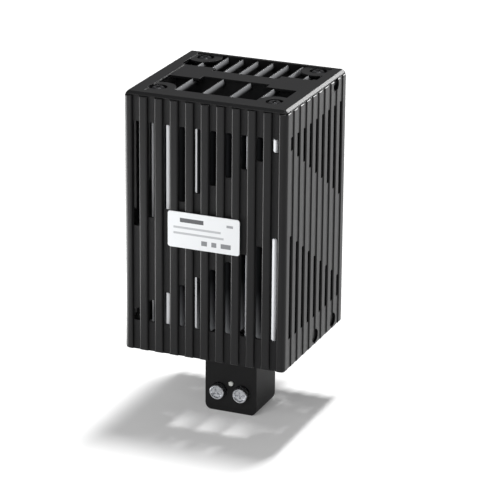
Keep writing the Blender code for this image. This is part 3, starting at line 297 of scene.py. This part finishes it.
hollow = rounded((foot.x + WALL, foot.y + WALL), (head.x - WALL, head.y - WALL), CORNER / 2, 4)
beyond = (foot.z - CLEARANCE, head.z + CLEARANCE)
cutters = [
    [lofted(np.stack([np.column_stack((hollow, np.full(len(hollow), height))) for height in beyond]))]
]
front, back = (foot.y - CLEARANCE, foot.y + CUT_DEPTH), (head.y - CUT_DEPTH, head.y + CLEARANCE)
left, right = (foot.x - CLEARANCE, foot.x + CUT_DEPTH), (head.x - CUT_DEPTH, head.x + CLEARANCE)
side_offset = (FRONT_GROOVES - SIDE_GROOVES) / 2
for count, rise, offset, span, axis in (
    (FRONT_GROOVES, 1, 0.0, front, "Y"), (FRONT_GROOVES, -1, 0.0, back, "Y"),
    (SIDE_GROOVES, -1, side_offset, right, "X"), (SIDE_GROOVES, 1, side_offset, left, "X"),
):
    cutters.append([drilled(outline, *span, axis) for outline in slots(count, rise, offset)])
cutters.append([])
for sign, span in ((-1, left), (1, right)):
    for along, height in (
        (FOOT_STUDS[0], foot.z + FOOT_STUD_HEIGHT), (FOOT_STUDS[1], foot.z + FOOT_STUD_HEIGHT),
        (HEAD_STUD, head.z - HEAD_STUD_DROP),
    ):
        circle = arc((sign * along, height), STUD_HOLE, 0, 360, 40)[:-1]
        cutters[-1].append(drilled(circle, *span, "X"))
cutters.append([])
for sign in (-1, 1):
    circle = arc((0, middle_z + sign * CLIP_SPREAD / 2), CLIP_HOLE, 0, 360, 24)[:-1]
    cutters[-1].append(drilled(circle, *back, "Y"))
for solids in cutters:
    step = shell.modifiers.new("cut", "BOOLEAN")
    step.operation = "DIFFERENCE"
    step.solver = "EXACT"
    step.object = joined("cutter", solids)
bpy.context.view_layer.update()
carved = bpy.data.meshes.new_from_object(shell.evaluated_get(bpy.context.evaluated_depsgraph_get()))
for step in shell.modifiers:
    bpy.data.objects.remove(step.object, do_unlink=True)
shell.modifiers.clear()
shell.data = carved
carved.shade_smooth()
carved.set_sharp_from_angle(angle=SHARP_ANGLE)
even = shell.modifiers.new("even_shading", "WEIGHTED_NORMAL")
even.keep_sharp = True
carved.materials.clear()
carved.materials.append(moulded)
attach(shell, "root")
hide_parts("cage")

# The cap and the lower grille are moulded in the same nylon. The cap's bevelled rim sits on the
# cage, its sunk middle carries the bars and the screw wells, and its skirt goes inside the ribs.
# The bars' leaning flanks, facing up and to the right, get a pale painted highlight within 3.2 mm of the
# top.
cap = material(
    "spark_textured_nylon_cap", **nylon, rough=(0.29, 0.37), edge_mm=0.25, Specular_IOR_Level=0.27
)
tree = cap.node_tree
facing = add(tree, "ShaderNodeSeparateXYZ", {"Vector": tree.nodes["place"].outputs["Normal"]})
split = add(tree, "ShaderNodeSeparateXYZ", {"Vector": tree.nodes["place"].outputs["Object"]})
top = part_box("top_cover")[1].z
masks = [
    add(tree, "ShaderNodeMapRange", {"Value": value, "From Min": start, "From Max": end})
    for value, start, end in (
        (facing.outputs["X"], 0.92, 0.95), (facing.outputs["Z"], 0.1, 0.16),
        (split.outputs["Z"], top - 3.2 * MM, top - 1.4 * MM),
    )
]
flank = masks[0].outputs["Result"]
for mask in masks[1:]:
    both = add(tree, "ShaderNodeMath", {0: flank, 1: mask.outputs["Result"]}, operation="MULTIPLY")
    flank = both.outputs[0]
# Painted highlight: the right-facing bar flanks near the top are mixed towards pale grey.
painted_highlight = add(
    tree, "ShaderNodeMix", {0: flank, 6: tree.nodes["tone"].outputs[2], 7: linear("#858688")},
    data_type="RGBA",
)
tree.links.new(painted_highlight.outputs[2], tree.nodes["Principled BSDF"].inputs["Base Color"])
finish(cap, "top_cover", "bottom_cover")

# The fin block is an aluminium 6063 extrusion, left as it came from the die: a satin grey metal
# with lines along its length, drawn 0.4 mm apart so that they show. A screw through the covers
# holds it at each corner. Its recesses and sideways faces carry painted shade, mid grey at the
# foot, where it stands for light from below, and dark above.
LINES_MM, LINE_STRETCH = 0.4, 0.02
RECESS_START, RECESS_END = 7.0 * MM, 8.5 * MM
PAINTED_SHADE_RISE = 26.0 * MM
extruded = bpy.data.materials.new("extruded_aluminium")
extruded.use_nodes = True
tree = extruded.node_tree
surface = tree.nodes["Principled BSDF"]
surface.inputs["Metallic"].default_value = 1.0
place = add(tree, "ShaderNodeTexCoord")
along = add(
    tree, "ShaderNodeMapping", {"Vector": place.outputs["Object"], "Scale": (1.0, 1.0, LINE_STRETCH)}
)
lines = add(
    tree, "ShaderNodeTexNoise",
    {"Vector": along.outputs["Vector"], "Scale": 1 / (LINES_MM * MM), "Detail": 3.0},
)
tone = add(
    tree, "ShaderNodeMix", {0: lines.outputs["Fac"], 6: linear("#b0b1b3"), 7: linear("#c0c1c3")},
    data_type="RGBA",
)
gloss = add(
    tree, "ShaderNodeMapRange", {"Value": lines.outputs["Fac"], "To Min": 0.66, "To Max": 0.74}
)
relief = add(
    tree, "ShaderNodeBump", {"Height": lines.outputs["Fac"], "Strength": 0.3, "Distance": 0.02 * MM}
)
split = add(tree, "ShaderNodeSeparateXYZ", {"Vector": place.outputs["Object"]})
facing = add(tree, "ShaderNodeSeparateXYZ", {"Vector": place.outputs["Normal"]})
sideways = add(tree, "ShaderNodeMath", {0: facing.outputs["X"]}, operation="ABSOLUTE")
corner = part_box("heat_sink")[0]
recess, flank, height = (
    add(tree, "ShaderNodeMapRange", {"Value": value, "From Min": start, "From Max": end})
    for value, start, end in (
        (split.outputs["Y"], corner.y + RECESS_START, corner.y + RECESS_END),
        (sideways.outputs[0], 0.92, 0.98), (split.outputs["Z"], corner.z, corner.z + PAINTED_SHADE_RISE),
    )
)
deep = add(
    tree, "ShaderNodeMath", {0: recess.outputs["Result"], 1: flank.outputs["Result"]},
    operation="MAXIMUM",
)
# Painted shade: mid grey at the foot, standing for light from below through the grille, and dark higher
# up.
shade = add(
    tree, "ShaderNodeMix", {0: height.outputs["Result"], 6: linear("#8a8b8e"), 7: linear("#28292b")},
    data_type="RGBA",
)
painted_shade = add(
    tree, "ShaderNodeMix", {0: deep.outputs[0], 6: tone.outputs[2], 7: shade.outputs[2]},
    data_type="RGBA",
)
tree.links.new(painted_shade.outputs[2], surface.inputs["Base Color"])
tree.links.new(gloss.outputs["Result"], surface.inputs["Roughness"])
tree.links.new(relief.outputs["Normal"], surface.inputs["Normal"])
finish(extruded, "heat_sink")

# The heating stones are sintered barium titanate, grey and matt, pressed between stamped brass
# electrodes whose tin plating gives a pale, warm gleam. An amber, glossy polyimide film goes
# round them, and two leads in off-white, satin silicone run from the tabs to the contact bars.
for name in ("lower_ptc_stone", "middle_ptc_stone", "upper_ptc_stone"):
    stone = material(
        f"sintered_ceramic_{name}", "#5b5858", "#6d6a69", 0.5, rough=(0.7, 0.85), bump_mm=0.02
    )
    finish(stone, name)
tinned = material("tinned_brass", "#b9b295", "#c9c3aa", 0.6, rough=(0.28, 0.4), Metallic=1.0)
finish(tinned, "front_electrode", "back_electrode", "left_contact_bar", "right_contact_bar")
film = material("polyimide_film", "#a4641c", "#b87424", 2.0, rough=(0.25, 0.35))
finish(film, "insulating_sleeve")
silicone = material("silicone_sleeving", "#dcdad4", "#e6e4df", 0.5, rough=(0.5, 0.6))
finish(silicone, "left_lead", "right_lead")

# The terminal block is moulded in PBT with a finer, duller texture than the cage. It hangs
# through the window of the lower grille, and the heater stands on its flat underside.
block = material(
    "fine_textured_pbt", "#0d0d0e", "#111112", 0.25, rough=(0.56, 0.64), bump_mm=0.01, edge_mm=0.3,
    Specular_IOR_Level=0.3,
)
finish(block, "terminal_housing")

# The terminal screws, clamp frames, clip screws and nuts are steel with a bright zinc plating,
# turned and stamped, which gives a cool, slightly blue-grey gleam.
zinc = material("bright_zinc_plated_steel", "#c4c6ca", "#dadce0", 0.5, rough=(0.2, 0.32), Metallic=1.0)
finish(zinc, "left_terminal_screw", "right_terminal_screw", "left_wire_clamp", "right_wire_clamp")
finish(zinc, "lower_clip_screw", "upper_clip_screw", "lower_clip_nut", "upper_clip_nut")

# The cover screws are steel, blackened by an oxide bath and oiled, so they are dark and glossy.
# Four go down through the wells of the cap into the fin block, and four up through the grille.
oxide = material("black_oxide_steel", "#2a2a2c", "#343437", 0.5, rough=(0.3, 0.42), Metallic=0.6)
for end in ("top", "bottom"):
    for corner in ("front_left", "front_right", "back_left", "back_right"):
        finish(oxide, f"{end}_screw_{corner}")

# The indicator is a milky, glossy polycarbonate lens pressed into the block above its two
# screws, with a small lamp of the same look behind it.
milky = material("milky_polycarbonate", "#dfe1dc", "#eceee9", 1.0, rough=(0.15, 0.22))
finish(milky, "indicator_lens", "indicator_lamp")

# The rail clip is moulded in the cage's nylon, and two screws hold it to the cage's back from
# outside. The heater hangs by it on a 35 mm rail.
finish(moulded, "rail_clip")

# The rating label is a white, satin polyester film stuck across the ribs. Its print is plain
# grey bars, each given by its ink and its left, right, lower and upper share of the label.
label = material("satin_polyester_label", "#d6d8da", "#dcdee0", 3.0, rough=(0.35, 0.42))
tree = label.node_tree
split = add(tree, "ShaderNodeSeparateXYZ", {"Vector": tree.nodes["place"].outputs["Object"]})
low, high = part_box("rating_label")
colour = tree.nodes["tone"].outputs[2]
for ink, left, right, lower, upper in (
    ("#4a4b4e", 0.17, 0.50, 0.72, 0.84), ("#8d8f92", 0.82, 0.91, 0.74, 0.81),
    ("#a9abae", 0.08, 0.74, 0.54, 0.60), ("#a9abae", 0.08, 0.78, 0.38, 0.44),
    ("#77797c", 0.47, 0.55, 0.14, 0.27), ("#77797c", 0.61, 0.68, 0.14, 0.27),
    ("#77797c", 0.74, 0.88, 0.14, 0.27),
):
    across, upward = (
        add(
            tree, "ShaderNodeMath",
            {
                0: split.outputs[axis], 1: start + size * (first + last) / 2,
                2: size * (last - first) / 2,
            },
            operation="COMPARE",
        )
        for axis, start, size, first, last in (
            ("X", low.x, high.x - low.x, left, right), ("Z", low.z, high.z - low.z, lower, upper),
        )
    )
    inside = add(
        tree, "ShaderNodeMath", {0: across.outputs[0], 1: upward.outputs[0]}, operation="MULTIPLY"
    )
    printed = add(
        tree, "ShaderNodeMix", {0: inside.outputs[0], 6: colour, 7: linear(ink)}, data_type="RGBA"
    )
    colour = printed.outputs[2]
tree.links.new(colour, tree.nodes["Principled BSDF"].inputs["Base Color"])
finish(label, "rating_label")

# The floor is a pale, matt studio table that runs on past the picture and keeps the heater's
# shadow. It shows white to the camera and in gloss, a little near the heater and fully far away.
FLOOR_HALF = 6.0
NEAR, FAR = 0.5, 1.3
mesh = bpy.data.meshes.new("studio_floor")
corners = np.array([(-1, -1, 0), (1, -1, 0), (1, 1, 0), (-1, 1, 0)]) * FLOOR_HALF
mesh.from_pydata(corners, [], [(0, 1, 2, 3)])
floor = bpy.data.objects.new("studio_floor", mesh)
bpy.context.scene.collection.objects.link(floor)
paper = bpy.data.materials.new("white_table")
paper.use_nodes = True
tree = paper.node_tree
surface = tree.nodes["Principled BSDF"]
surface.inputs["Base Color"].default_value = linear("#f0f0f0")
surface.inputs["Roughness"].default_value = 0.9
surface.inputs["Specular IOR Level"].default_value = 0.0
surface.inputs["Emission Color"].default_value = (1, 1, 1, 1)
ray = add(tree, "ShaderNodeLightPath")
seen = ray.outputs["Is Camera Ray"]
for kind in ("Is Glossy Ray", "Is Transmission Ray"):
    seen = add(tree, "ShaderNodeMath", {0: seen, 1: ray.outputs[kind]}, operation="MAXIMUM").outputs[0]
place = add(tree, "ShaderNodeTexCoord")
away = add(tree, "ShaderNodeVectorMath", {0: place.outputs["Object"]}, operation="LENGTH")
horizon = add(
    tree, "ShaderNodeMapRange",
    {"Value": away.outputs["Value"], "From Min": NEAR, "From Max": FAR, "To Min": 0.13, "To Max": 1.0},
)
glow = add(tree, "ShaderNodeMath", {0: seen, 1: horizon.outputs["Result"]}, operation="MULTIPLY")
tree.links.new(glow.outputs[0], surface.inputs["Emission Strength"])
mesh.materials.append(paper)

# The light is a dim, even studio, white to the camera, with a small box overhead for the shadow
# and a broad box in front that fills it. A box behind and a card at the left are flagged off
# table, cap and blocks, and three snoots light only the fin block, the cap's bars and its bevel.
world = bpy.data.worlds.new("dim_studio")
bpy.context.scene.world = world
world.use_nodes = True
tree = world.node_tree
ray = add(tree, "ShaderNodeLightPath")
sky = add(
    tree, "ShaderNodeMapRange", {"Value": ray.outputs["Is Camera Ray"], "To Min": 0.22, "To Max": 1.0}
)
tree.nodes["Background"].inputs["Color"].default_value = (1, 1, 1, 1)
tree.links.new(sky.outputs["Result"], tree.nodes["Background"].inputs["Strength"])
flagged = [
    piece for piece in (*node.values(), shell)
    if not piece.name.startswith(("terminal_housing", "heat_sink", "top_"))
]
fins, lid = [node["heat_sink"]], [node["top_cover"]]
for name, centre, aim, size, watts, receivers in (
    ("overhead_box", (0.07, 0.22, 1.75), (0.0, 0.0, 0.1), (0.16, 0.34), 30, None),
    ("front_box", (-0.3, -2.0, 1.3), (0.0, 0.0, 0.1), (1.4, 1.0), 20, None),
    ("back_right_box", (0.45, 0.87, 0.34), (0.0, 0.0, 0.12), (0.75, 0.66), 23, flagged),
    ("left_card", (-0.42, -0.08, 0.002), (-0.42, -0.08, 1.0), (0.56, 0.4), 7, flagged),
    ("snoot_by_the_camera", (0.68, -1.33, 0.62), (0.0, 0.0, 0.1), (0.2, 0.2), 58, fins),
    ("snoot_on_the_cap", (0.95, 0.3, 0.6), (0.0, 0.0, 0.15), (0.3, 0.3), 6, lid),
    ("snoot_on_the_bevel", (0.37, 0.87, 0.52), (0.03, 0.0, 0.163), (0.3, 0.3), 4, lid),
):
    data = bpy.data.lights.new(name, "AREA")
    data.shape = "RECTANGLE"
    data.size, data.size_y = size
    data.energy = watts
    lamp = bpy.data.objects.new(name, data)
    bpy.context.scene.collection.objects.link(lamp)
    lamp.location = centre
    lamp.rotation_euler = (Vector(aim) - Vector(centre)).to_track_quat("-Z", "Y").to_euler()
    if receivers:
        lit = bpy.data.collections.new(f"lit_by_{name}")
        for piece in receivers:
            lit.objects.link(piece)
        lamp.light_linking.receiver_collection = lit
        lamp.visible_camera = False

# The camera has a long lens. It is turned 22 degrees to the right of the front, looks 20 degrees
# down at a point inside the cage, and is moved sideways and down to the photograph's framing.
TURN, TILT, ROLL = (math.radians(degrees) for degrees in (22.416, 19.874, 0.537))
AIM_IN, AIM_UP = 37.25 * MM, 62.6 * MM
SIDEWAYS, DOWN, DISTANCE = 6.65 * MM, 19.33 * MM, 1311.4 * MM
toward = Vector((math.sin(TURN) * math.cos(TILT), -math.cos(TURN) * math.cos(TILT), math.sin(TILT)))
side = (-toward).cross(Vector((0, 0, 1))).normalized()
up = side.cross(-toward)
side, up = side * math.cos(ROLL) + up * math.sin(ROLL), up * math.cos(ROLL) - side * math.sin(ROLL)
target = Vector((0.0, foot.y + AIM_IN, foot.z + AIM_UP))
spot = target + side * SIDEWAYS - up * DOWN + toward * DISTANCE
camera = bpy.data.objects.new("camera", bpy.data.cameras.new("camera"))
bpy.context.scene.collection.objects.link(camera)
camera.matrix_world = Matrix.Translation(spot) @ Matrix((side, up, toward)).transposed().to_4x4()
camera.data.lens = 202.64
camera.data.sensor_width = 36.0
camera.data.clip_end = 30.0
bpy.context.scene.camera = camera
bpy.context.scene.view_settings.view_transform = "Standard"
